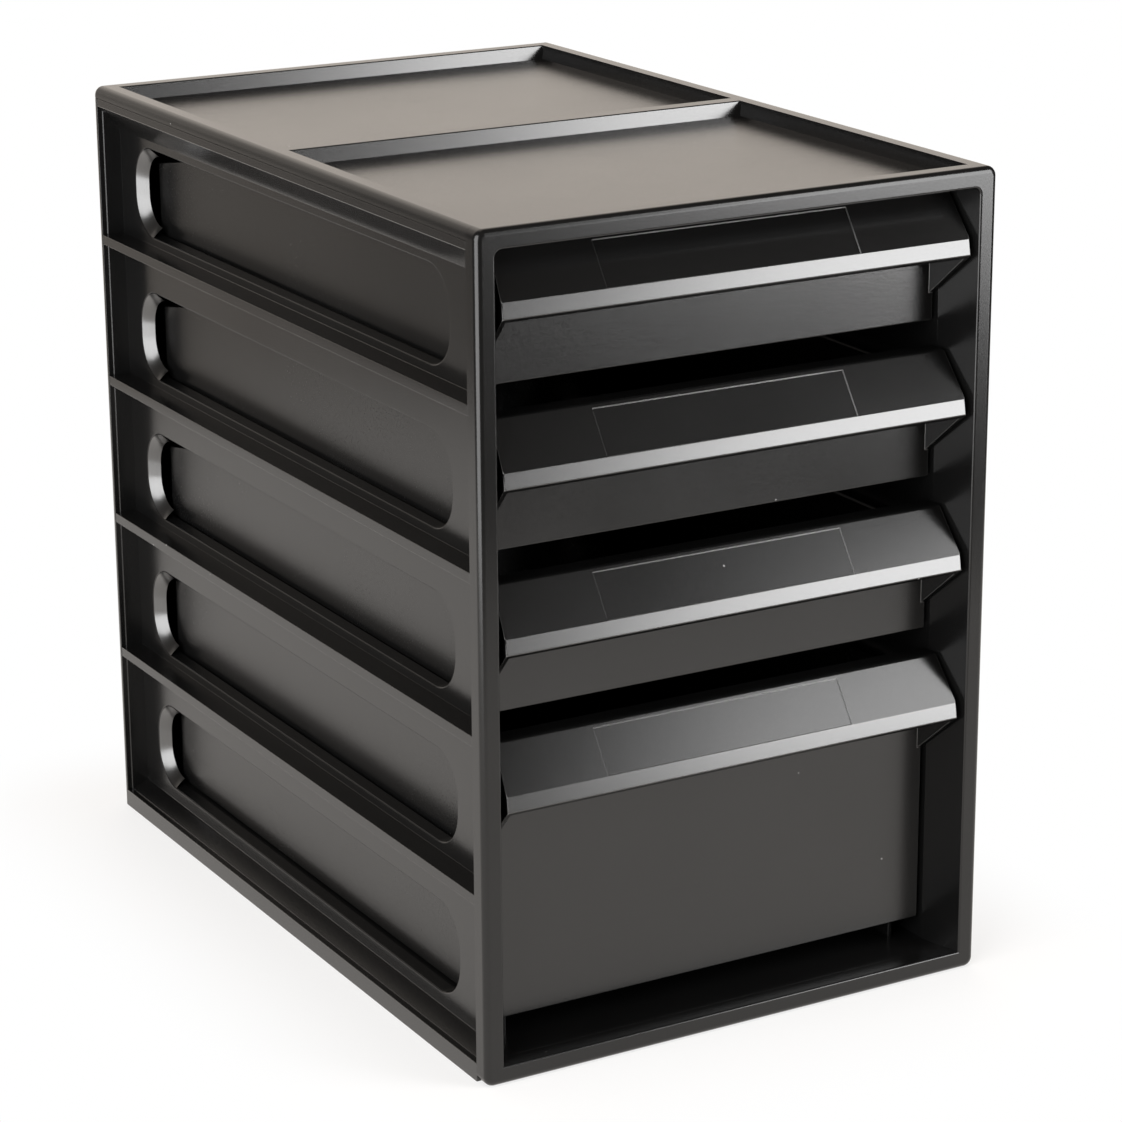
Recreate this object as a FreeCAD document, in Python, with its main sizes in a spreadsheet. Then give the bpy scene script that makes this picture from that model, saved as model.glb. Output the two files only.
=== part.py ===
import FreeCAD, Part
import math
import os

import Sketcher

# A desktop case of moulded plastic with four paper drawers: three of one bay and a deep one of two bays.
# The origin is on the ground under the middle of the case, the drawers open towards -Y, and +Z is up.
# Depths are counted from the front of the case.

# Driving sizes, in millimetres
sizes_in_mm = {
    # Case
    "case_width": 260.0,
    "case_depth": 398.0,
    "case_height": 380.0,
    "post_width": 9.1,          # upright of the front frame, seen from the front
    "sill_height": 8.8,         # bottom rail of the frame, and the base behind it
    "frame_thickness": 9.0,
    "mouth_flare_depth": 22.0,  # how far in the mouth narrows to the inside of the side walls
    "outline_corner": 4.5,      # corners of the case seen from the front and from above
    "edge_rounding": 3.0,
    "rim_rounding": 4.4,
    "mouth_corner": 3.0,
    "mouth_edge_rounding": 1.1,
    "seam_gap": 0.3,            # shadow line under the lid's rim
    # Side walls
    "side_set_in": 11.5,        # how far the side walls lie behind the rim and the ribs
    "side_wall": 3.0,
    "head_rise": 12.8,          # slope from the side wall out to the rim
    "head_band": 3.6,           # upright band between that slope and the lid's rim
    "foot_rise": 4.1,           # slope from the side wall out to the base
    "foot_step": 0.4,
    "foot_set_in": 2.7,
    "side_rib_height": 4.7,
    "side_rib_drop": 2.0,       # from a runner's top down to its rib's top
    # Slots in the side walls
    "slot_set_back": 45.2,
    "slot_length": 329.3,
    "slot_land": 28.5,          # solid height between one slot and the next
    "slot_lift": 4.2,           # from a rib's top up to its slot
    "slot_edge_rounding": 0.8,
    "collar_wall": 2.4,
    "collar_reach": 3.8,        # how far the slots' collars stand in past the side wall
    # Bays and runners
    "lowest_runner_top": 17.5,  # the bays share the height above this evenly
    "deep_lift": 1.7,           # the deep drawer runs this much higher than the even spacing
    "runner_set_back": 31.5,
    "runner_reach": 12.5,
    "runner_wall": 2.0,
    "stop_height": 2.0,
    "stop_wall": 2.5,
    # Lid, base and back
    "rim_width": 10.0,
    "rear_rim_width": 11.0,
    "rim_height": 7.0,          # from the lid's plate up to the rim's top
    "lid_wall": 2.0,
    "rim_skirt": 5.5,           # height of the rim's outer side
    "rim_wall": 2.5,
    "cross_rib_set_back": 194.0,
    "cross_rib_width": 8.0,
    "rib_lean": 2.0,            # the fronts of cross rib and rear rim lean back this far
    "rib_draft": 0.4,
    "rib_edge_rounding": 0.8,
    "rim_foot_width": 1.2,      # slope at the foot of the rim's inner sides
    "rim_foot_height": 4.0,
    "base_wall": 3.0,
    "base_skirt": 3.0,
    "back_flange": 6.0,
    "back_wall": 3.0,
    "back_ledge_depth": 0.5,
    # Drawers
    "drawer_side_gap": 2.0,     # between a drawer and the slots' collars
    "runner_gap": 0.3,
    "stop_gap": 0.3,
    "drawer_rear_space": 27.0,  # between a drawer's rear and the back of the case
    "tray_wall": 2.2,
    "tray_head_space": 24.5,    # from a tray's sides up to the next runner's top
    "tray_slope_run": 68.0,     # the sides fall away to the rear over this length
    "tray_slope_drop": 12.5,
    "tray_corner": 7.0,
    "tray_keel_rounding": 1.5,
    # Hooded drawer fronts
    "front_wall": 2.4,
    "panel_set_back": 24.0,
    "panel_side_gap": 1.8,
    "lip_set_back": 1.0,
    "lip_lean": 1.2,
    "lip_side_gap": 3.4,
    "lip_lift": 33.5,           # from the drawer's underside up to its lip
    "lip_height": 6.9,
    "hood_run": 14.2,
    "hood_head_space": 11.8,    # from a hood's top up to the next drawer's underside
    "hood_rounding": 2.0,
    "gusset_drop": 23.0,
    "front_edge_rounding": 0.7,
    "label_length": 127.0,
    "label_shift": 3.5,         # the label's place lies this far left of the middle
    "label_foot_margin": 0.4,
    "label_head_margin": 2.4,
    "label_depth": 0.5,
}

cut_overrun_share = 0.01        # cuts run past the case by this share of its width
slot_corner_share = 0.432       # a slot's corner radius as a share of its height
bay_count = 5
drawer_names = ["third_drawer", "second_drawer", "top_drawer"]

doc = FreeCAD.newDocument("drawer_case")
sheet = doc.addObject("Spreadsheet::Sheet", "sizes")
for row, (alias, number) in enumerate(sizes_in_mm.items(), start=1):
    sheet.set(f"A{row}", alias)
    sheet.set(f"B{row}", str(number))
    sheet.setAlias(f"B{row}", alias)
doc.recompute()


class Size:
    """A length worked out from the sheet: its present value, and the formula that ties it to the cells."""

    def __init__(self, value, formula):
        self.value = value
        self.formula = formula

    @staticmethod
    def of(thing):
        return thing if isinstance(thing, Size) else Size(float(thing), repr(float(thing)))

    def join(self, other, sign, result):
        return Size(result, f"({self.formula} {sign} {other.formula})")

    def __add__(self, other):
        other = Size.of(other)
        return self.join(other, "+", self.value + other.value)

    def __sub__(self, other):
        other = Size.of(other)
        return self.join(other, "-", self.value - other.value)

    def __mul__(self, other):
        other = Size.of(other)
        return self.join(other, "*", self.value * other.value)

    def __truediv__(self, other):
        other = Size.of(other)
        return self.join(other, "/", self.value / other.value)

    def __rmul__(self, other):
        return Size.of(other) * self

    def __neg__(self):
        return Size(-self.value, f"(-1 * {self.formula})")

    def root(self):
        return Size(math.sqrt(self.value), f"sqrt({self.formula})")


class SizeNames:
    """Every alias of the sheet as an attribute."""

    def __init__(self):
        for alias in sizes_in_mm:
            setattr(self, alias, Size(float(sheet.get(alias)), f"{sheet.Name}.{alias}"))


z = SizeNames()
nothing = Size.of(0)

# Lines and planes that several pieces share
half_width = z.case_width / 2
mouth_half = half_width - z.post_width
wall_outside = half_width - z.side_set_in
wall_inside = wall_outside - z.side_wall
lid_underside = z.case_height - z.rim_height - z.lid_wall
lid_plate_top = z.case_height - z.rim_height
rim_underside = z.case_height - z.rim_skirt
head_top = rim_underside - z.seam_gap
back_plane = z.case_depth - z.back_flange
drawer_half = wall_inside - z.collar_reach - z.drawer_side_gap
drawer_rear = z.case_depth - z.drawer_rear_space
panel_rear = z.panel_set_back + z.front_wall
overrun = z.case_width * cut_overrun_share
bay_height = (z.case_height - z.lowest_runner_top) / bay_count


def runner_top(bay):
    return z.lowest_runner_top + bay_height * bay


def new_body(name):
    """A body modelled from the front of the case, then moved so that the origin is under its middle."""
    body = doc.addObject("PartDesign::Body", name)
    body.Label = name
    body.setExpression("Placement.Base.y", (-z.case_depth / 2).formula)
    return body


def origin_item(body, role):
    return next(item for item in body.Origin.OriginFeatures if item.Role == role)


def corner_geometry(before, here, after, radius):
    """The rounding of a corner: where its arc starts and ends, the arc's centre, and how far it turns."""
    into = FreeCAD.Vector(here[0] - before[0], here[1] - before[1], 0).normalize()
    out = FreeCAD.Vector(after[0] - here[0], after[1] - here[1], 0).normalize()
    turn = math.atan2(into.x * out.y - into.y * out.x, into.dot(out))
    reach = radius * math.tan(abs(turn) / 2)
    corner = FreeCAD.Vector(here[0], here[1], 0)
    side = FreeCAD.Vector(-into.y, into.x, 0) * (radius if turn > 0 else -radius)
    start = corner - into * reach
    return start, corner + out * reach, start + side, turn


def tie_point(sketch, geometry, end, x, y):
    """Hold a point of the sketch at a place given by two sizes."""
    for axis, size in (("DistanceX", x), ("DistanceY", y)):
        number = sketch.addConstraint(Sketcher.Constraint(axis, geometry, end, size.value))
        sketch.setExpression(f"Constraints[{number}]", size.formula)


def add_loop(sketch, corners):
    """Draw one closed outline. A corner is (x, y), or (x, y, radius) where it is rounded."""
    places = [(corner[0].value, corner[1].value) for corner in corners]
    count = len(corners)
    arcs = {}
    starts = [FreeCAD.Vector(*place, 0) for place in places]
    ends = list(starts)
    for i, corner in enumerate(corners):
        if len(corner) == 3:
            around = (places[i - 1], places[i], places[(i + 1) % count])
            ends[i], starts[i], centre, turn = corner_geometry(*around, corner[2].value)
            arcs[i] = (centre, turn)
    lines = []
    for i in range(count):
        lines.append(sketch.addGeometry(Part.LineSegment(starts[i], ends[(i + 1) % count]), False))
    for i, corner in enumerate(corners):
        line_in, line_out = lines[i - 1], lines[i]
        if i not in arcs:
            sketch.addConstraint(Sketcher.Constraint("Coincident", line_in, 2, line_out, 1))
            tie_point(sketch, line_out, 1, corner[0], corner[1])
            continue
        centre, turn = arcs[i]
        first, last = (ends[i], starts[i]) if turn > 0 else (starts[i], ends[i])
        angles = [math.atan2(point.y - centre.y, point.x - centre.x) for point in (first, last)]
        circle = Part.Circle(centre, FreeCAD.Vector(0, 0, 1), corner[2].value)
        arc = sketch.addGeometry(Part.ArcOfCircle(circle, *angles), False)
        arc_in, arc_out = (1, 2) if turn > 0 else (2, 1)
        sketch.addConstraint(Sketcher.Constraint("Tangent", line_in, 2, arc, arc_in))
        sketch.addConstraint(Sketcher.Constraint("Tangent", arc, arc_out, line_out, 1))
        number = sketch.addConstraint(Sketcher.Constraint("Radius", arc, corner[2].value))
        sketch.setExpression(f"Constraints[{number}]", corner[2].formula)
        point = sketch.addGeometry(Part.Point(FreeCAD.Vector(*places[i], 0)), True)
        sketch.addConstraint(Sketcher.Constraint("PointOnObject", point, 1, line_in))
        sketch.addConstraint(Sketcher.Constraint("PointOnObject", point, 1, line_out))
        tie_point(sketch, point, 1, corner[0], corner[1])


def new_sketch(body, name, plane, level, loops):
    """A sketch parallel to one of the body's planes, at a level along that plane's axis."""
    sketch = body.newObject("Sketcher::SketchObject", name)
    sketch.AttachmentSupport = [(origin_item(body, plane), "")]
    sketch.MapMode = "FlatFace"
    along = -level if plane == "XZ_Plane" else level
    sketch.setExpression("AttachmentOffset.Base.z", along.formula)
    for loop in loops:
        add_loop(sketch, loop)
    return sketch


def extrude(kind, body, name, plane, low, high, *loops):
    """Add (Pad) or take away (Pocket) the outlines between two levels along the plane's axis."""
    before = body.Shape.Volume if body.Tip else 0
    feature = body.newObject(f"PartDesign::{kind}", name)
    sketch = new_sketch(body, name + "_outline", plane, low, loops)
    feature.Profile = sketch
    feature.setExpression("Length", (high - low).formula)
    against_normal = plane == "XZ_Plane"
    feature.Reversed = against_normal if kind == "Pad" else not against_normal
    body.Tip = feature
    doc.recompute()
    after = feature.Shape.Volume
    grows = kind == "Pad"
    if (after <= before) if grows else (after >= before):
        raise RuntimeError(f"{body.Label}: {name} changes nothing")
    return feature


def repeat(body, name, features, count, pitch):
    """Copy features upwards at an even pitch."""
    pattern = body.newObject("PartDesign::LinearPattern", name)
    pattern.Originals = features
    pattern.Direction = (origin_item(body, "Z_Axis"), [""])
    pattern.Mode = "Spacing"
    pattern.Occurrences = count
    pattern.setExpression("Offset", pitch.formula)
    body.Tip = pattern
    doc.recompute()
    return pattern


def mirror_across_middle(body, name, features):
    mirrored = body.newObject("PartDesign::Mirrored", name)
    mirrored.Originals = features
    mirrored.MirrorPlane = (origin_item(body, "YZ_Plane"), [""])
    body.Tip = mirrored
    doc.recompute()
    return mirrored


def round_edges(body, name, radius, chosen):
    """Fillet the edges that the test chooses."""
    base = body.Tip
    names = [f"Edge{i}" for i, edge in enumerate(base.Shape.Edges, start=1) if chosen(edge)]
    if not names:
        raise RuntimeError(f"{body.Label}: {name} finds no edges")
    fillet = body.newObject("PartDesign::Fillet", name)
    fillet.Base = (base, names)
    fillet.setExpression("Radius", radius.formula)
    body.Tip = fillet
    doc.recompute()
    return fillet


def hollow(body, name, wall, removed):
    """Shell the solid inwards, open at the faces that the test removes."""
    base = body.Tip
    names = [f"Face{i}" for i, face in enumerate(base.Shape.Faces, start=1) if removed(face)]
    shell = body.newObject("PartDesign::Thickness", name)
    shell.Base = (base, names)
    shell.setExpression("Value", wall.formula)
    shell.Join = "Intersection"
    shell.Reversed = True
    body.Tip = shell
    doc.recompute()
    if shell.Shape.Volume >= base.Shape.Volume:
        raise RuntimeError(f"{body.Label}: {name} takes nothing away")
    return shell


closeness = 0.001               # share of a millimetre within which two places count as one


def near(a, b):
    return abs(a - (b.value if isinstance(b, Size) else b)) < closeness


def lies_at(edge, axis, size):
    """The whole edge lies in the plane at this size along the axis."""
    box = edge.BoundBox
    low, high = {"x": (box.XMin, box.XMax), "y": (box.YMin, box.YMax), "z": (box.ZMin, box.ZMax)}[axis]
    return near(low, size) and near(high, size)


def rectangle(x_low, x_high, y_low, y_high):
    return [(x_low, y_low), (x_high, y_low), (x_high, y_high), (x_low, y_high)]


def cheek_plan(side):
    """The mouth's side seen from above: it narrows, at an even wall, from its edge to the side wall."""
    return [
        (mouth_half * side, z.mouth_edge_rounding),
        ((mouth_half + z.side_wall) * side, z.mouth_edge_rounding),
        (wall_outside * side, z.mouth_flare_depth),
        (wall_inside * side, z.mouth_flare_depth),
    ]


def make_front_frame():
    body = new_body("front_frame")
    outline = [
        (-half_width, nothing, z.outline_corner),
        (half_width, nothing, z.outline_corner),
        (half_width, z.case_height, z.outline_corner),
        (-half_width, z.case_height, z.outline_corner),
    ]
    mouth = [
        (-mouth_half, z.sill_height),
        (mouth_half, z.sill_height),
        (mouth_half, lid_underside, z.mouth_corner),
        (-mouth_half, lid_underside, z.mouth_corner),
    ]
    extrude("Pad", body, "frame_ring", "XZ_Plane", nothing, z.frame_thickness, outline, mouth)

    def around_mouth(edge):
        box = edge.BoundBox
        between = box.XMin > -mouth_half.value - closeness and box.XMax < mouth_half.value + closeness
        above_sill = box.ZMin > z.sill_height.value - closeness
        return between and above_sill and box.ZMax < lid_underside.value + closeness

    def outer_edge(edge):
        return lies_at(edge, "y", nothing) and not around_mouth(edge)

    def mouth_edge(edge):
        return lies_at(edge, "y", nothing) and around_mouth(edge)

    round_edges(body, "outer_rounding", z.edge_rounding, outer_edge)
    round_edges(body, "mouth_rounding", z.mouth_edge_rounding, mouth_edge)
    cheek = extrude("Pad", body, "cheek", "XY_Plane", z.sill_height, lid_underside, cheek_plan(1))
    mirror_across_middle(body, "second_cheek", [cheek])
    return body


def carrier_plan():
    """What stands out of the side wall, seen from above: rooted in it, and cut to the cheek's slope."""
    slope_share = z.frame_thickness - z.mouth_edge_rounding
    slope_share = slope_share / (z.mouth_flare_depth - z.mouth_edge_rounding)
    cheek_at_frame = mouth_half + z.side_wall - (mouth_half - wall_inside) * slope_share
    return [
        (cheek_at_frame, z.frame_thickness),
        (half_width, z.frame_thickness),
        (half_width, back_plane),
        (wall_inside, back_plane),
        (wall_inside, z.mouth_flare_depth),
        (wall_outside, z.mouth_flare_depth),
    ]


def make_side_panel():
    """The right-hand side: wall, head, foot, ribs, collared slots and runners in one moulding."""
    body = new_body("right_side_panel")
    wall = rectangle(z.mouth_flare_depth, back_plane, z.sill_height, lid_underside)
    extrude("Pad", body, "wall", "YZ_Plane", wall_inside, wall_outside, wall)

    head_edge = head_top - z.head_band
    head_foot = head_edge - z.head_rise
    extrude("Pad", body, "head", "XY_Plane", head_foot, head_top, carrier_plan())
    below_head = [
        (wall_outside, head_foot),
        (half_width, head_edge),
        (half_width + overrun, head_edge),
        (half_width + overrun, head_foot - overrun),
        (wall_outside, head_foot - overrun),
    ]
    front = z.frame_thickness - overrun
    rear = back_plane + overrun
    extrude("Pocket", body, "head_slope", "XZ_Plane", front, rear, below_head)
    plug_half = half_width - z.rim_width + z.rim_wall
    lid_seat = rectangle(wall_inside - overrun, plug_half, lid_underside, head_top + overrun)
    extrude("Pocket", body, "lid_seat", "XZ_Plane", front, rear, lid_seat)

    foot_top = z.sill_height + z.foot_rise
    foot_edge = half_width - z.foot_set_in
    extrude("Pad", body, "foot", "XY_Plane", z.sill_height, foot_top, carrier_plan())
    above_foot = [
        (wall_outside, foot_top),
        (foot_edge, z.sill_height + z.foot_step),
        (foot_edge, z.sill_height - overrun),
        (half_width + overrun, z.sill_height - overrun),
        (half_width + overrun, foot_top + overrun),
        (wall_outside, foot_top + overrun),
    ]
    extrude("Pocket", body, "foot_slope", "XZ_Plane", front, rear, above_foot)

    rib_top = runner_top(0) + bay_height - z.side_rib_drop
    rib = extrude("Pad", body, "rib", "XY_Plane", rib_top - z.side_rib_height, rib_top, carrier_plan())
    repeat(body, "ribs", [rib], bay_count - 1, bay_height)

    slot_rear = z.slot_set_back + z.slot_length
    slot_foot = runner_top(0) - z.side_rib_drop + z.slot_lift
    slot_top = slot_foot + bay_height - z.slot_land
    slot_corner = (slot_top - slot_foot) * slot_corner_share

    def stadium(grown):
        radius = slot_corner + grown
        places = rectangle(z.slot_set_back - grown, slot_rear + grown, slot_foot - grown, slot_top + grown)
        return [(x, y, radius) for x, y in places]

    collar_inside = wall_inside - z.collar_reach
    collar = extrude("Pad", body, "collar", "YZ_Plane", collar_inside, wall_inside, stadium(z.collar_wall))
    slot = extrude("Pocket", body, "slot", "YZ_Plane", collar_inside, wall_outside, stadium(nothing))
    repeat(body, "slots", [collar, slot], bay_count, bay_height)

    def slot_edge(edge):
        box = edge.BoundBox
        within = box.YMin > z.slot_set_back.value - closeness and box.YMax < slot_rear.value + closeness
        return within and lies_at(edge, "x", wall_outside) and box.ZMin > slot_foot.value - closeness

    round_edges(body, "slot_rounding", z.slot_edge_rounding, slot_edge)

    stop_front = drawer_rear + z.stop_gap
    stop_rear = stop_front + z.stop_wall

    def add_runner(name, top):
        shelf = rectangle(wall_inside - z.runner_reach, wall_inside, top - z.runner_wall, top)
        stop = rectangle(wall_inside - z.runner_reach, wall_inside, top, top + z.stop_height)
        return [
            extrude("Pad", body, name, "XZ_Plane", z.runner_set_back, stop_rear, shelf),
            extrude("Pad", body, name + "_stop", "XZ_Plane", stop_front, stop_rear, stop),
        ]

    # The deep drawer's runner also stands on the base
    deep_top = runner_top(0) + z.deep_lift
    add_runner("deep_runner", deep_top)
    web_inside = wall_inside - z.runner_reach
    web = rectangle(web_inside, web_inside + z.runner_wall, z.sill_height, deep_top)
    extrude("Pad", body, "deep_web", "XZ_Plane", z.runner_set_back, stop_rear, web)
    repeat(body, "runners", add_runner("runner", runner_top(2)), len(drawer_names), bay_height)
    return body


def make_mirror_panel(source):
    mirrored = doc.addObject("Part::Mirroring", "left_side_panel")
    mirrored.Label = "left_side_panel"
    mirrored.Source = source
    mirrored.Normal = FreeCAD.Vector(1, 0, 0)
    doc.recompute()
    return mirrored


def rear_corners_outline(front):
    """The case's outline from above, behind a given depth, with its rear corners rounded."""
    return [
        (-half_width, front),
        (half_width, front),
        (half_width, z.case_depth, z.outline_corner),
        (-half_width, z.case_depth, z.outline_corner),
    ]


def make_top_panel():
    body = new_body("top_panel")
    outline = rear_corners_outline(z.frame_thickness)
    extrude("Pad", body, "rim", "XY_Plane", rim_underside, z.case_height, outline)
    plug_half = half_width - z.rim_width + z.rim_wall
    plug = rectangle(-plug_half, plug_half, z.frame_thickness, back_plane)
    extrude("Pad", body, "plate", "XY_Plane", lid_underside, rim_underside, plug)
    field_half = half_width - z.rim_width
    rib_rear = z.cross_rib_set_back + z.cross_rib_width
    rear_rim_front = z.case_depth - z.rear_rim_width

    def field(front, front_draft, rear):
        """One sunk field seen from the side: its front face, and a rear face that leans back."""
        return [
            (front, z.case_height),
            (front + front_draft, lid_plate_top),
            (rear - z.rib_lean, lid_plate_top),
            (rear, z.case_height),
        ]

    fields = [
        field(z.frame_thickness, nothing, z.cross_rib_set_back),
        field(rib_rear, z.rib_draft, rear_rim_front),
    ]
    extrude("Pocket", body, "fields", "YZ_Plane", -field_half, field_half, *fields)
    rim_foot = [
        (field_half - z.rim_foot_width, lid_plate_top),
        (field_half, lid_plate_top),
        (field_half, lid_plate_top + z.rim_foot_height),
    ]
    foot = extrude("Pad", body, "rim_foot", "XZ_Plane", z.frame_thickness, rear_rim_front, rim_foot)
    mirror_across_middle(body, "second_rim_foot", [foot])

    def outer_top_edge(edge):
        box = edge.BoundBox
        outside = max(abs(box.XMin), abs(box.XMax)) > half_width.value - closeness
        outside = outside or box.YMax > z.case_depth.value - closeness
        at_front = lies_at(edge, "y", z.frame_thickness)
        return lies_at(edge, "z", z.case_height) and outside and not at_front

    def leaning_edge(edge):
        at_face = lies_at(edge, "y", z.cross_rib_set_back) or lies_at(edge, "y", rear_rim_front)
        return lies_at(edge, "z", z.case_height) and at_face

    round_edges(body, "outer_rounding", z.rim_rounding, outer_top_edge)
    round_edges(body, "leaning_rounding", z.rib_edge_rounding, leaning_edge)
    return body


def make_base_panel():
    body = new_body("base_panel")
    outline = rear_corners_outline(z.frame_thickness)
    extrude("Pad", body, "base", "XY_Plane", nothing, z.sill_height, outline)
    field_half = half_width - z.base_skirt
    rib_rear = z.cross_rib_set_back + z.cross_rib_width
    fields = [
        rectangle(-field_half, field_half, z.frame_thickness + z.base_skirt, z.cross_rib_set_back),
        rectangle(-field_half, field_half, rib_rear, z.case_depth - z.base_skirt),
    ]
    extrude("Pocket", body, "underside", "XY_Plane", nothing, z.sill_height - z.base_wall, *fields)
    return body


def make_back_panel():
    body = new_body("back_panel")
    step_edge = half_width - z.foot_set_in
    step_depth = back_plane + z.back_ledge_depth
    inner_face = z.case_depth - z.back_wall
    plan = [
        (half_width, z.case_depth, z.outline_corner),
        (-half_width, z.case_depth, z.outline_corner),
        (-half_width, step_depth),
        (-step_edge, step_depth),
        (-step_edge, back_plane),
        (-wall_inside, back_plane),
        (-wall_inside, inner_face),
        (wall_inside, inner_face),
        (wall_inside, back_plane),
        (step_edge, back_plane),
        (step_edge, step_depth),
        (half_width, step_depth),
    ]
    extrude("Pad", body, "back", "XY_Plane", z.sill_height, head_top, plan)
    return body


def make_tray(name, underside, extra_height):
    """An open tray whose sides fall away towards the rear, modelled from its own underside."""
    body = new_body(name + "_tray")
    side_height = bay_height - z.tray_head_space + extra_height
    slope_start = drawer_rear - z.tray_slope_run
    side = [
        (panel_rear, nothing),
        (drawer_rear, nothing),
        (drawer_rear, side_height - z.tray_slope_drop),
        (slope_start, side_height),
        (panel_rear, side_height),
    ]
    extrude("Pad", body, "tray", "YZ_Plane", -drawer_half, drawer_half, side)

    def rear_upright(edge):
        box = edge.BoundBox
        upright = near(box.XMin, box.XMax) and box.ZLength > z.tray_wall.value
        return lies_at(edge, "y", drawer_rear) and upright

    round_edges(body, "rear_corners", z.tray_corner, rear_upright)

    def keel_edge(edge):
        return lies_at(edge, "z", nothing) and not lies_at(edge, "y", panel_rear)

    round_edges(body, "keel", z.tray_keel_rounding, keel_edge)
    inner_half = drawer_half - z.tray_wall
    inner_corner = z.tray_corner - z.tray_wall
    inside = [
        (-inner_half, panel_rear + z.tray_wall),
        (inner_half, panel_rear + z.tray_wall),
        (inner_half, drawer_rear - z.tray_wall, inner_corner),
        (-inner_half, drawer_rear - z.tray_wall, inner_corner),
    ]
    extrude("Pocket", body, "inside", "XY_Plane", z.tray_wall, side_height + overrun, inside)
    body.setExpression("Placement.Base.z", underside.formula)
    return body


def make_front(name, underside, extra_height):
    """A drawer front: a flat panel under a sloped hood with an upright lip, open below for the fingers."""
    body = new_body(name + "_front")
    lip_foot = z.lip_lift + extra_height
    lip_top = lip_foot + z.lip_height
    lip_top_set_back = z.lip_set_back + z.lip_lean
    hood_rise = bay_height - z.lip_lift - z.lip_height - z.hood_head_space
    hood_top = lip_top + hood_rise
    hood_rear = lip_top_set_back + z.hood_run
    lip_half = mouth_half - z.lip_side_gap
    panel_half = wall_inside - z.panel_side_gap
    wedge = [
        (z.lip_set_back, lip_foot),
        (panel_rear, lip_foot - z.gusset_drop),
        (panel_rear, hood_top),
        (hood_rear, hood_top),
        (lip_top_set_back, lip_top),
    ]
    extrude("Pad", body, "hood", "YZ_Plane", -lip_half, lip_half, wedge)

    # Both ends lean in towards the rear, as the mouth does
    wide = lip_half + overrun
    for side, end in ((1, "right_end"), (-1, "left_end")):
        lean = [
            (lip_half * side, z.lip_set_back),
            (wide * side, z.lip_set_back),
            (wide * side, panel_rear),
            (panel_half * side, panel_rear),
        ]
        extrude("Pocket", body, end, "XY_Plane", nothing, hood_top, lean)

    def finger_side(face):
        normal = face.normalAt(0, 0)
        return normal.z < -closeness and normal.y < -closeness

    hollow(body, "hollow", z.front_wall, finger_side)
    panel = rectangle(-panel_half, panel_half, nothing, hood_top)
    extrude("Pad", body, "panel", "XZ_Plane", z.panel_set_back, panel_rear, panel)

    # The label's place follows the hood's slope between two margins
    slope = (z.hood_run * z.hood_run + hood_rise * hood_rise).root()
    along_y = z.hood_run / slope
    along_z = hood_rise / slope

    def on_slope(distance, depth):
        y = lip_top_set_back + along_y * distance + along_z * depth
        height = lip_top + along_z * distance - along_y * depth
        return y, height

    low = z.label_foot_margin
    high = slope - z.label_head_margin
    place = [on_slope(low, z.label_depth), on_slope(high, z.label_depth)]
    place += [on_slope(high, -overrun), on_slope(low, -overrun)]
    label_left = -z.label_length / 2 - z.label_shift
    extrude("Pocket", body, "label_place", "YZ_Plane", label_left, label_left + z.label_length, place)

    def crisp_edge(edge):
        at_lip = edge.BoundBox.YMax < lip_top_set_back.value + closeness
        at_panel_foot = lies_at(edge, "z", nothing) and lies_at(edge, "y", z.panel_set_back)
        return at_lip or at_panel_foot

    def hood_top_edge(edge):
        return lies_at(edge, "z", hood_top) and lies_at(edge, "y", hood_rear)

    round_edges(body, "hood_rounding", z.hood_rounding, hood_top_edge)
    round_edges(body, "edges", z.front_edge_rounding, crisp_edge)
    body.setExpression("Placement.Base.z", underside.formula)
    return body


right_side = make_side_panel()
pieces = [
    make_front_frame(),
    right_side,
    make_mirror_panel(right_side),
    make_top_panel(),
    make_base_panel(),
    make_back_panel(),
]
drawers = [("deep_drawer", runner_top(0) + z.deep_lift, bay_height)]
drawers += [(name, runner_top(bay), nothing) for bay, name in enumerate(drawer_names, start=2)]
for name, runner, extra_height in drawers:
    underside = runner + z.runner_gap
    pieces.append(make_tray(name, underside, extra_height))
    pieces.append(make_front(name, underside, extra_height))

doc.recompute()
for item in doc.Objects:
    if "Invalid" in item.State or "Error" in item.State:
        raise RuntimeError(f"{item.Label} did not compute: {item.State}")

os.makedirs("parts", exist_ok=True)
for piece in pieces:
    if piece.Shape.isNull() or not piece.Shape.isValid() or len(piece.Shape.Solids) != 1:
        raise RuntimeError(f"{piece.Label} is not one valid solid")
    piece.Shape.exportStep(f"parts/{piece.Label}.step")
    box = piece.Shape.BoundBox
    corners = [round(value) for value in (box.XMin, box.YMin, box.ZMin, box.XMax, box.YMax, box.ZMax)]
    print(piece.Label, corners, round(piece.Shape.Volume))
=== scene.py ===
import math

import bmesh
import bpy
from mathutils import Matrix, Quaternion, Vector


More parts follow.
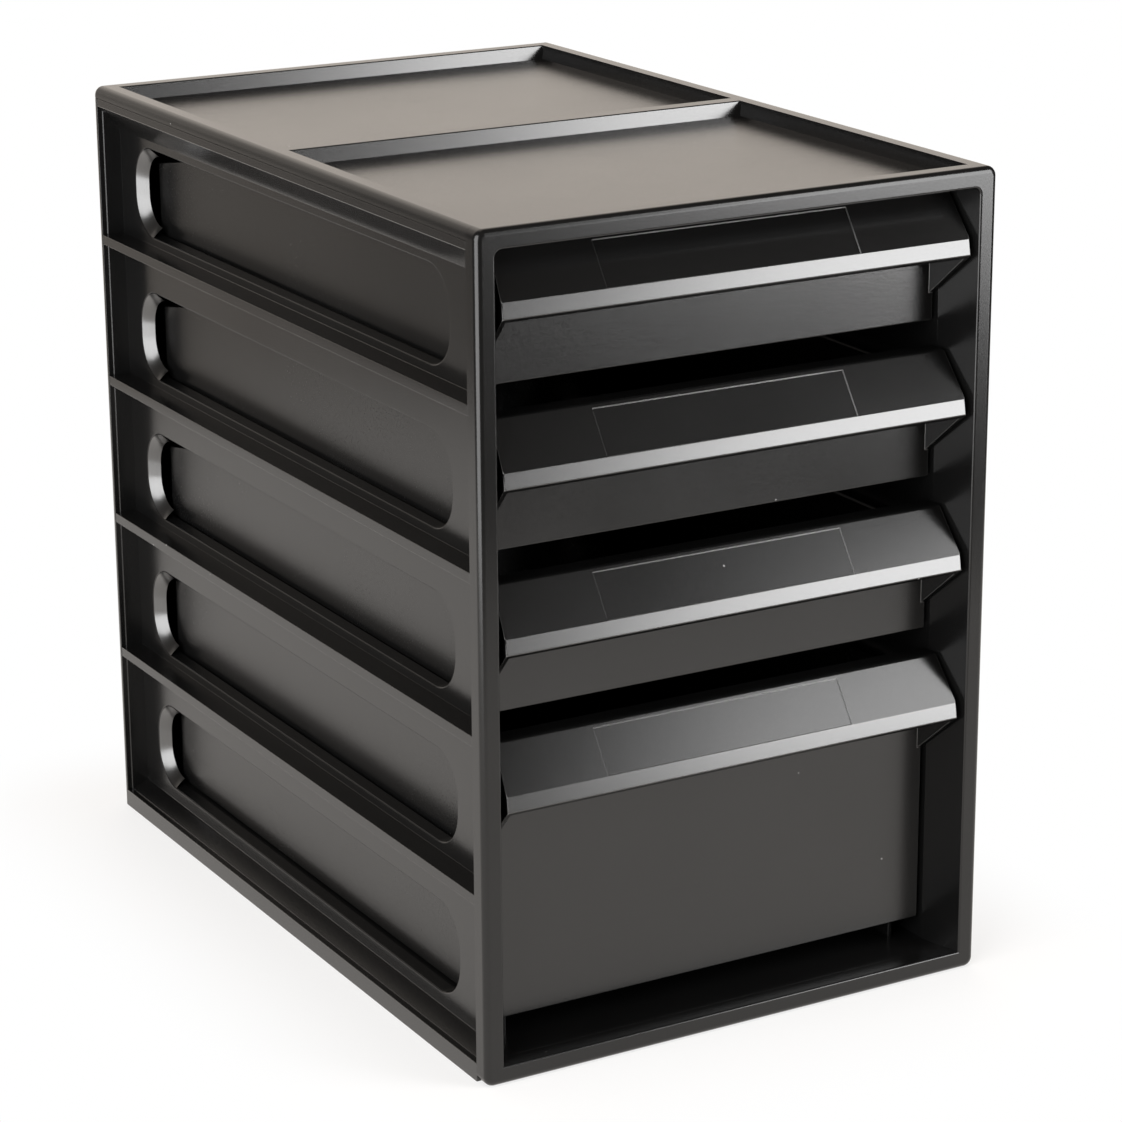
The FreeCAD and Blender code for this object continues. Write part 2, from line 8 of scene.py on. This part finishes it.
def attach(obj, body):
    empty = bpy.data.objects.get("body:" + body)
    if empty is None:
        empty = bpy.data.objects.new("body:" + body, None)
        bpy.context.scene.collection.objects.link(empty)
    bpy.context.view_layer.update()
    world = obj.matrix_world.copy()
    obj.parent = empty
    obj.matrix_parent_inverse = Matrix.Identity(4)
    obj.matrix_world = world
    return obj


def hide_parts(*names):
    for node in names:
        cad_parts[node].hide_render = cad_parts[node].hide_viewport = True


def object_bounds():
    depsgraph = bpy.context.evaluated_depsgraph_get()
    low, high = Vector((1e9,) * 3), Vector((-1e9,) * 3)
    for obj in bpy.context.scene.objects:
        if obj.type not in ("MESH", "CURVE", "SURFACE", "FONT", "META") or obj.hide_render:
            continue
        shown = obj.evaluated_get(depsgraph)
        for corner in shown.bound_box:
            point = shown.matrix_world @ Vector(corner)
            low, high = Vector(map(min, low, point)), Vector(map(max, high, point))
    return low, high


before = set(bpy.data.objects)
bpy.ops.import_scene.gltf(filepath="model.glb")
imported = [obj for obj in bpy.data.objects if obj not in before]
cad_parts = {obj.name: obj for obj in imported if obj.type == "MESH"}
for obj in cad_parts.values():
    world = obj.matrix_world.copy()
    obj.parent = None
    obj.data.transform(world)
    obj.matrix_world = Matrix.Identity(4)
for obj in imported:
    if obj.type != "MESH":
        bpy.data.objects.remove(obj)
cadBounds = [list(corner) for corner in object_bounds()]
print("frame loaded:", len(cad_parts), "nodes")

mm = 0.001

# The case stands upright, centred on the origin
caseFront = cadBounds[0][1]
halfWidth, halfDepth, caseTop = cadBounds[1]


class Wire:
    # One output of a node; arithmetic on it adds Math nodes beside that node
    def __init__(self, maker, socket):
        self.maker = maker
        self.socket = socket

    def math(self, operation, *values):
        sockets = dict(enumerate(values))
        return self.maker.node("ShaderNodeMath", {"operation": operation}, sockets)

    def __add__(self, other):
        return self.math("ADD", self, other)

    def __sub__(self, other):
        return self.math("SUBTRACT", self, other)

    def __rsub__(self, other):
        return self.math("SUBTRACT", other, self)

    def __mul__(self, other):
        return self.math("MULTIPLY", self, other)

    def __truediv__(self, other):
        return self.math("DIVIDE", self, other)

    def __gt__(self, other):
        return self.math("GREATER_THAN", self, other)

    def __lt__(self, other):
        return self.math("LESS_THAN", self, other)

    __radd__ = __add__
    __rmul__ = __mul__


class NodeMaker:
    # Makes the nodes of a material, of the world or of a geometry rule
    def __init__(self, tree):
        self.tree = tree
        tree.nodes.clear()

    def node(self, kind, settings=None, sockets=None, output=0):
        made = self.tree.nodes.new(kind)
        for key, value in (settings or {}).items():
            setattr(made, key, value)
        for key, value in (sockets or {}).items():
            if isinstance(value, Wire):
                self.tree.links.new(value.socket, made.inputs[key])
            elif isinstance(value, list):
                for wire in value:
                    self.tree.links.new(wire.socket, made.inputs[key])
            else:
                made.inputs[key].default_value = value
        return Wire(self, made.outputs[output]) if made.outputs else None

    def vector(self, operation, *values, output=0):
        sockets = dict(enumerate(values))
        return self.node("ShaderNodeVectorMath", {"operation": operation}, sockets, output)

    def along(self, axis, vector):
        return self.node("ShaderNodeSeparateXYZ", None, {"Vector": vector}, axis)

    def ray(self, kind):
        return self.node("ShaderNodeLightPath", None, None, kind)

    def shownRays(self):
        # 1 for the camera's rays and for those that a gloss or glass sends on
        shown = self.ray("Is Camera Ray") + self.ray("Is Glossy Ray") + self.ray("Is Transmission Ray")
        return self.node("ShaderNodeClamp", None, {"Value": shown})

    def blend(self, factor, first, second):
        return self.node("ShaderNodeMix", {"data_type": "RGBA"}, {0: factor, 6: first, 7: second}, 2)


class Finish(NodeMaker):
    # A material under construction
    def __init__(self, name):
        self.material = bpy.data.materials.new(name)
        self.material.use_nodes = True
        super().__init__(self.material.node_tree)

    def close(self, surface):
        self.node("ShaderNodeOutputMaterial", None, {"Surface": surface})
        return self.material


def tone(value, warmth=0.0):
    return (value * (1 + warmth), value, value * (1 - warmth), 1.0)


def mouldedPlastic(name, look):
    # Near-black plastic: fine grain, uneven gloss, slow waves, a few specks of dust
    finish = Finish(name)
    noiseMiddle = 0.5
    place = finish.node("ShaderNodeTexCoord", None, None, "Object")
    cloud = finish.node("ShaderNodeTexNoise", None,
                        {"Vector": place, "Scale": look["cloudScale"], "Detail": look["cloudDetail"]})
    grain = finish.node("ShaderNodeTexNoise", None,
                        {"Vector": place, "Scale": look["grainScale"], "Detail": look["grainDetail"],
                         "Roughness": look["grainBreakup"]})
    wave = finish.node("ShaderNodeTexNoise", None,
                       {"Vector": place, "Scale": look["waveScale"], "Detail": look["waveDetail"]})
    cells = {"Vector": place, "Scale": look["speckScale"]}
    speckSpace = finish.node("ShaderNodeTexVoronoi", {"feature": "F1"}, cells, "Distance")
    speckPick = finish.node("ShaderNodeTexVoronoi", {"feature": "F1"}, cells, "Color")
    pick = finish.node("ShaderNodeSeparateColor", None, {"Color": speckPick}, "Red")
    speck = (speckSpace < look["speckSize"]) * (pick > 1 - look["speckShare"])

    shade = finish.node("ShaderNodeMapRange", None,
                        {"Value": cloud, "From Min": look["cloudLow"], "From Max": look["cloudHigh"],
                         "To Min": 1 - look["shadeSpread"], "To Max": 1 + look["shadeSpread"]})
    tinted = finish.node("ShaderNodeVectorMath", {"operation": "SCALE"},
                         {0: look["color"][:3], "Scale": shade})
    colored = finish.blend(speck * look["speckCover"], tinted, look["speckColor"])
    uneven = (cloud - noiseMiddle) * look["glossSpread"]
    grainy = (grain - noiseMiddle) * look["grainGloss"]
    rough = look["roughness"] + uneven + grainy + speck * look["speckDullness"]
    slow = finish.node("ShaderNodeBump", None,
                       {"Height": wave, "Strength": look["waveStrength"], "Distance": look["waveDepth"]})
    normal = finish.node("ShaderNodeBump", None,
                         {"Height": grain, "Strength": look["grainStrength"],
                          "Distance": look["grainDepth"], "Normal": slow})
    surface = finish.node("ShaderNodeBsdfPrincipled", None, {
        "Base Color": colored, "Roughness": rough, "Normal": normal,
        "IOR": look["ior"], "Coat Weight": look["coat"], "Coat Roughness": look["coatRoughness"]})
    return finish.close(surface)


satinLook = {
    "color": tone(0.005),
    "shadeSpread": 0.15,
    "roughness": 0.22,
    "glossSpread": 0.06,
    "cloudScale": 14.0,
    "cloudDetail": 3.0,
    "cloudLow": 0.3,
    "cloudHigh": 0.7,
    "grainScale": 1100.0,
    "grainDetail": 2.0,
    "grainBreakup": 0.6,
    "grainGloss": 0.1,
    "grainStrength": 0.35,
    "grainDepth": 0.07 * mm,
    "waveScale": 9.0,
    "waveDetail": 0.5,
    "waveStrength": 0.2,
    "waveDepth": 1.0 * mm,
    "speckScale": 62.0,
    "speckSize": 0.03,
    "speckShare": 0.25,
    "speckColor": tone(0.35),
    "speckCover": 0.8,
    "speckDullness": 0.4,
    "ior": 1.60,
    "coat": 0.0,
    "coatRoughness": 0.2,
}
smoothLook = dict(satinLook, roughness=0.2, glossSpread=0.03, grainStrength=0.15, ior=1.49)
hoodLook = dict(smoothLook, roughness=0.17, ior=1.47)
polishedLook = dict(satinLook, glossSpread=0.03, grainStrength=0.10, coat=1.0)
# The rounded edges get a lighter colour than the plastic: a painted highlight along them
edgeHighlightLook = dict(polishedLook, color=tone(0.07))
beadLook = dict(polishedLook, roughness=0.3, ior=1.9)
sideLook = dict(satinLook, ior=1.48)
trayLook = dict(sideLook, roughness=0.25)

satin = mouldedPlastic("satin_black", satinLook)
smooth = mouldedPlastic("smooth_black", smoothLook)
hoodFinish = mouldedPlastic("hood_black", hoodLook)
polished = mouldedPlastic("polished_black", polishedLook)
edgeHighlight = mouldedPlastic("painted_edge_highlight", edgeHighlightLook)
beadFinish = mouldedPlastic("slot_bead_black", beadLook)
sideFinish = mouldedPlastic("side_black", sideLook)
trayFinish = mouldedPlastic("tray_black", trayLook)
print("finishes made")


softening = {
    "weldDistance": 0.002 * mm,
    "flatAngle": 0.15,      # degrees; facets that meet flatter than this become one face
    "sharpAngle": 32.0,     # degrees; edges sharper than this are rounded
    "segments": 2,
    "faceWeight": 100,
}


def mergedCopy(nodeName, pieceName):
    # A CAD node's mesh with its loose triangles joined again
    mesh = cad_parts[nodeName].data.copy()
    mesh.name = pieceName
    mesh.materials.clear()
    loose = bmesh.new()
    loose.from_mesh(mesh)
    bmesh.ops.remove_doubles(loose, verts=loose.verts, dist=softening["weldDistance"])
    bmesh.ops.dissolve_limit(loose, angle_limit=math.radians(softening["flatAngle"]),
                             verts=loose.verts, edges=loose.edges)
    for face in loose.faces:
        face.smooth = True
    loose.to_mesh(mesh)
    loose.free()
    piece = bpy.data.objects.new(pieceName, mesh)
    bpy.context.scene.collection.objects.link(piece)
    return piece


def softenEdges(piece, width, finishNumber):
    bevel = piece.modifiers.new("soft_edges", "BEVEL")
    bevel.width = width
    bevel.segments = softening["segments"]
    bevel.limit_method = "ANGLE"
    bevel.angle_limit = math.radians(softening["sharpAngle"])
    bevel.use_clamp_overlap = True
    bevel.miter_outer = "MITER_ARC"
    bevel.material = finishNumber
    even = piece.modifiers.new("even_shading", "WEIGHTED_NORMAL")
    even.weight = softening["faceWeight"]
    even.keep_sharp = True


# Every moulding carries five finishes in this order, its main one first; its faces and its softened edges
# pick theirs by number
mainNumber, polishedNumber, smoothNumber, hoodNumber, edgeHighlightNumber = range(5)

dressing = {
    "front_frame": {"edge": 0.35 * mm, "edgeFinish": smoothNumber},
    "left_side_panel": {"edge": 0.3 * mm, "edgeFinish": polishedNumber, "finish": sideFinish},
    "right_side_panel": {"edge": 0.3 * mm, "edgeFinish": polishedNumber, "finish": sideFinish},
    "top_panel": {"edge": 0.3 * mm, "edgeFinish": polishedNumber},
    "base_panel": {"edge": 0.3 * mm, "edgeFinish": polishedNumber},
    "back_panel": {"edge": 0.3 * mm, "edgeFinish": mainNumber},
}
for plan in dressing.values():
    plan.update(body="case", slot="case")
for drawer in ("top_drawer", "second_drawer", "third_drawer", "deep_drawer"):
    # The drawer fronts' rounded edges carry the lighter colour of the painted edge highlight
    dressing[drawer + "_front"] = {"body": drawer, "slot": "drawer_front",
                                   "edge": 0.25 * mm, "edgeFinish": edgeHighlightNumber}
    dressing[drawer + "_tray"] = {"body": drawer, "slot": "drawer_tray",
                                  "edge": 0.3 * mm, "edgeFinish": polishedNumber, "finish": trayFinish}

faceRules = {
    "lipDepth": 4 * mm,     # how far behind the case's front the lips' faces lie
    "rimDepth": 4 * mm,     # how far under the case's top the rim's faces lie
    "frontward": -0.9,      # the normal's Y of a face that looks to the front
    "sloping": 0.3,         # the normal's Z of a hood
    "upward": 0.5,          # the normal's Z of a face that looks up
}


def faceFinish(nodeName, face):
    frontward = face.normal.y < faceRules["frontward"]
    if nodeName.endswith("_front"):
        if frontward and face.center.y < caseFront + faceRules["lipDepth"]:
            return polishedNumber
        return hoodNumber if face.normal.z > faceRules["sloping"] else mainNumber
    if nodeName == "front_frame":
        return smoothNumber
    if nodeName == "top_panel":
        if frontward:
            return polishedNumber
        raised = face.center.z > caseTop - faceRules["rimDepth"]
        return smoothNumber if raised and face.normal.z > faceRules["upward"] else mainNumber
    return mainNumber


for nodeName, plan in dressing.items():
    piece = mergedCopy(nodeName, nodeName + "_moulding")
    for finish in (plan.get("finish", satin), polished, smooth, hoodFinish, edgeHighlight):
        piece.data.materials.append(finish)
    for face in piece.data.polygons:
        face.material_index = faceFinish(nodeName, face)
    softenEdges(piece, plan["edge"], plan["edgeFinish"])
    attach(piece, plan["body"])
    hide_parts(nodeName)
print("mouldings dressed:", len(dressing))


# The rounded rear ends of the side walls' slots: a smooth bead of one even section follows each slot's
# outline round its rear end, and stops where the slot turns straight
slotBeads = {
    "Slots": 5,
    "Pitch": 72.5 * mm,
    "Lowest slot": 19.7 * mm,
    "Slot front": -153.8 * mm,
    "Slot length": 329.3 * mm,
    "Slot height": 44.0 * mm,
    "Corner": 19.0 * mm,
    "Wall": 118.3 * mm,
    "Bead depth": 5.0 * mm,
    "Bead width": 4.4 * mm,
    "Depth bulge": 0.44,
    "Width bulge": 0.56,
    "Corner steps": 24,
    "Section steps": 10,
    "Finish": beadFinish,
}


def slotBeadRule(values):
    group = bpy.data.node_groups.new("slot_bead_rule", "GeometryNodeTree")
    group.is_modifier = True
    kinds = {int: "NodeSocketInt", float: "NodeSocketFloat"}
    keys = {}
    for name, value in values.items():
        kind = kinds.get(type(value), "NodeSocketMaterial")
        keys[name] = group.interface.new_socket(name=name, in_out="INPUT", socket_type=kind).identifier
    group.interface.new_socket(name="Geometry", in_out="OUTPUT", socket_type="NodeSocketGeometry")
    rule = NodeMaker(group)
    entry = group.nodes.new("NodeGroupInput")
    given = {name: Wire(rule, entry.outputs[name]) for name in values}

    def point(x=0.0, y=0.0, z=0.0):
        return rule.node("ShaderNodeCombineXYZ", None, {"X": x, "Y": y, "Z": z})

    outline = rule.node("GeometryNodeCurvePrimitiveQuadrilateral", None,
                        {"Width": given["Slot length"], "Height": given["Slot height"]})
    outline = rule.node("GeometryNodeFilletCurve", {"mode": "POLY"},
                        {"Curve": outline, "Count": given["Corner steps"], "Radius": given["Corner"]})
    outline = rule.node("GeometryNodeSetCurveNormal", {"mode": "Z_UP"}, {"Curve": outline})
    along = rule.along("X", rule.node("GeometryNodeInputPosition"))
    # 0 where a rear corner starts, 1 at the rear end
    turn = (along - given["Slot length"] * 0.5) / given["Corner"] + 1
    width = given["Bead width"] * -1
    depth = given["Bead depth"] * -1
    section = rule.node("GeometryNodeCurveQuadraticBezier", None, {
        "Resolution": given["Section steps"],
        "Start": point(),
        "Middle": point(width * given["Width bulge"], depth * given["Depth bulge"]),
        "End": point(width, depth)})
    bead = rule.node("GeometryNodeCurveToMesh", None, {"Curve": outline, "Profile Curve": section})
    straight = rule.node("FunctionNodeCompare", {"data_type": "FLOAT", "operation": "LESS_THAN"},
                         {"A": turn, "B": 0.0})
    bead = rule.node("GeometryNodeDeleteGeometry", {"domain": "FACE"},
                     {"Geometry": bead, "Selection": straight})
    upright = (math.pi / 2, 0.0, math.pi / 2)
    middle = point(0.0 - given["Wall"], given["Slot front"] + given["Slot length"] * 0.5,
                   given["Lowest slot"] + given["Slot height"] * 0.5)
    bead = rule.node("GeometryNodeTransform", None,
                     {"Geometry": bead, "Translation": middle, "Rotation": upright})
    bays = rule.node("GeometryNodeMeshLine", None,
                     {"Count": given["Slots"], "Offset": point(0.0, 0.0, given["Pitch"])})
    left = rule.node("GeometryNodeInstanceOnPoints", None, {"Points": bays, "Instance": bead})
    left = rule.node("GeometryNodeRealizeInstances", None, {"Geometry": left})
    right = rule.node("GeometryNodeTransform", None, {"Geometry": left, "Scale": (-1.0, 1.0, 1.0)})
    right = rule.node("GeometryNodeFlipFaces", None, {"Mesh": right})
    both = rule.node("GeometryNodeJoinGeometry", None, {"Geometry": [left, right]})
    both = rule.node("GeometryNodeSetShadeSmooth", None, {"Geometry": both})
    both = rule.node("GeometryNodeRealizeInstances", None, {"Geometry": both})
    both = rule.node("GeometryNodeSetMaterial", None, {"Geometry": both, "Material": given["Finish"]})
    rule.node("NodeGroupOutput", None, {"Geometry": both})
    return group, keys


def grow(name, makeRule, values):
    # A geometry rule's result as a plain mesh
    grown = bpy.data.objects.new(name, bpy.data.meshes.new(name))
    bpy.context.scene.collection.objects.link(grown)
    group, keys = makeRule(values)
    rule = grown.modifiers.new("rule", "NODES")
    rule.node_group = group
    for key, value in values.items():
        rule[keys[key]] = value
    depsgraph = bpy.context.evaluated_depsgraph_get()
    mesh = bpy.data.meshes.new_from_object(grown.evaluated_get(depsgraph))
    grown.modifiers.remove(rule)
    grown.data = mesh
    return grown


beads = grow("slot_end_beads", slotBeadRule, slotBeads)
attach(beads, "case")
print("slot ends beaded:", len(beads.data.polygons), "faces")


stageSizes = {
    "tableRadius": 0.95,
    "tableCorners": 96,
    "tableMiddle": (0.0, 0.10),     # x and y
    "tableTone": 0.85,
    "shadowTone": 0.95,             # the table where the camera sees the object's shadow on it
    "shadowShare": 0.35,            # how much of its shadow the camera sees on the table
    "shadowReach": 0.10,            # the table turns to plain white this far from the object
    "frontLight": 0.08,             # the room behind the camera
    "backLight": 1.0,               # the pale backdrop behind the object
    "overheadLight": 1.4,
    "warmth": 0.10,
    "tableWarmth": 0.05,
}
# The two ends of each soft change in the room's light, by the X, Y or Z of the direction toward it
roomParts = {
    "left": (-0.50, -0.38),         # the backdrop's left end
    "leftDim": (-0.2, 0.1),         # the backdrop is dimmer further left than this
    "dimShare": 0.6,                # and has this share of its light there
    "right": (0.62, 0.8),           # the backdrop's right end
    "behind": (0.2, 0.5),           # from the dark room to the backdrop
    "overhead": (0.78, 0.92),       # from the room to the light above
}


def makeFloor():
    # A round table top; the camera sees it plain white except where the object's shadow falls beside it
    middle = Vector((*stageSizes["tableMiddle"], 0))
    corners = stageSizes["tableCorners"]
    rim = [middle + stageSizes["tableRadius"] * Vector((math.cos(turn), math.sin(turn), 0))
           for turn in (2 * math.pi * corner / corners for corner in range(corners))]
    mesh = bpy.data.meshes.new("floor")
    mesh.from_pydata(rim, [], [tuple(range(corners))])
    floor = bpy.data.objects.new("floor", mesh)
    bpy.context.scene.collection.objects.link(floor)
    finish = Finish("pale_floor")
    apart = finish.vector("ABSOLUTE", finish.node("ShaderNodeTexCoord", None, None, "Object"))
    apart = finish.vector("SUBTRACT", apart, (halfWidth, halfDepth, 0))
    apart = finish.vector("MAXIMUM", apart, (0, 0, 0))
    reach = finish.vector("LENGTH", apart, output="Value")
    fade = finish.node("ShaderNodeMapRange", {"interpolation_type": "SMOOTHSTEP"},
                       {"Value": reach, "From Min": 0.0, "From Max": stageSizes["shadowReach"]})
    seen = finish.shownRays()
    warmTable = tone(stageSizes["tableTone"], stageSizes["tableWarmth"])
    paper = finish.blend(seen, warmTable, tone(stageSizes["shadowTone"]))
    matt = finish.node("ShaderNodeBsdfDiffuse", None, {"Color": paper})
    shown = finish.blend(finish.ray("Is Camera Ray"), tone(1.0, stageSizes["tableWarmth"]), tone(1.0))
    glow = finish.node("ShaderNodeEmission", None, {"Color": shown, "Strength": 1.0})
    white = seen * (1 - (1 - fade) * stageSizes["shadowShare"])
    surface = finish.node("ShaderNodeMixShader", None, {0: white, 1: matt, 2: glow})
    mesh.materials.append(finish.close(surface))


def makeWorld():
    # A warm pale backdrop behind the object and a dark room in front of it, which gloss shows too, and white
    # where the camera looks past the object
    world = bpy.data.worlds.new("studio")
    bpy.context.scene.world = world
    world.use_nodes = True
    studio = NodeMaker(world.node_tree)
    toward = studio.node("ShaderNodeTexCoord", None, None, "Generated")
    level = studio.vector("NORMALIZE", studio.vector("MULTIPLY", toward, (1, 1, 0)))
    side = studio.along("X", level)
    back = studio.along("Y", level)
    up = studio.along("Z", toward)

    def between(value, part):
        low, high = roomParts[part]
        return studio.node("ShaderNodeMapRange", {"interpolation_type": "SMOOTHSTEP"},
                           {"Value": value, "From Min": low, "From Max": high})

    dim = roomParts["dimShare"]
    leftPart = between(side, "left") * (between(side, "leftDim") * (1 - dim) + dim)
    backdrop = between(back, "behind") * leftPart * (1 - between(side, "right"))
    overhead = between(up, "overhead")
    room = backdrop * (stageSizes["backLight"] - stageSizes["frontLight"]) + stageSizes["frontLight"]
    light = room * (1 - overhead) + overhead * stageSizes["overheadLight"]
    seen = studio.ray("Is Camera Ray")
    mirrored = studio.shownRays() - seen
    strength = light * (1 - seen - mirrored) + seen + mirrored * room
    shade = studio.blend(seen, tone(1.0, stageSizes["warmth"]), tone(1.0))
    background = studio.node("ShaderNodeBackground", None, {"Color": shade, "Strength": strength})
    studio.node("ShaderNodeOutputWorld", None, {"Surface": background})


# Two softboxes beyond the table: the right one is what the drawers' lips and hoods mirror, the left one what
# the slots' rounded ends mirror. Each faces the object. "roll" is how many degrees its top leans to the
# right as seen from the object, and a negative one leans it to the left
softboxes = {
    "right_softbox": {
        "place": (1.542, -1.759, 0.875),
        "roll": -11.0,
        "width": 0.975,
        "height": 2.05,
        "radiance": 9.0,
    },
    "left_softbox": {
        "place": (-1.60, -0.75, 0.45),
        "roll": 0.0,
        "width": 1.7,
        "height": 2.6,
        "radiance": 5.0,
    },
}


def makeSoftbox(name, plan):
    place = Vector(plan["place"])
    away = Vector((place.x, place.y - caseFront, 0)).normalized()
    data = bpy.data.lights.new(name, "AREA")
    data.shape = "RECTANGLE"
    data.size = plan["width"]
    data.size_y = plan["height"]
    data.energy = plan["radiance"] * math.pi * plan["width"] * plan["height"]
    box = bpy.data.objects.new(name, data)
    box.location = place
    box.rotation_mode = "QUATERNION"
    upright = (-away).to_track_quat("-Z", "Y")
    box.rotation_quaternion = Quaternion(away, math.radians(plan["roll"])) @ upright
    bpy.context.scene.collection.objects.link(box)


makeFloor()
makeWorld()
for name, plan in softboxes.items():
    makeSoftbox(name, plan)
print("stage lit")


photoView = {
    "eye": (-0.7978, -1.4382, 0.6840),
    "right": (0.867799, -0.496882, -0.005743),
    "up": (0.154067, 0.258053, 0.953767),
    "back": (-0.472428, -0.828563, 0.300491),
    "lens": 114.32,
    "sensor": 36.0,
    "near": 0.05,
    "far": 60.0,
}


def makeCamera():
    data = bpy.data.cameras.new("photo_view")
    data.lens = photoView["lens"]
    data.sensor_width = photoView["sensor"]
    data.clip_start = photoView["near"]
    data.clip_end = photoView["far"]
    camera = bpy.data.objects.new("photo_view", data)
    turn = Matrix((photoView["right"], photoView["up"], photoView["back"])).transposed()
    camera.matrix_world = Matrix.Translation(photoView["eye"]) @ turn.to_4x4()
    bpy.context.scene.collection.objects.link(camera)
    bpy.context.scene.camera = camera


makeCamera()
bpy.context.scene.view_settings.view_transform = "Standard"
print("camera set")
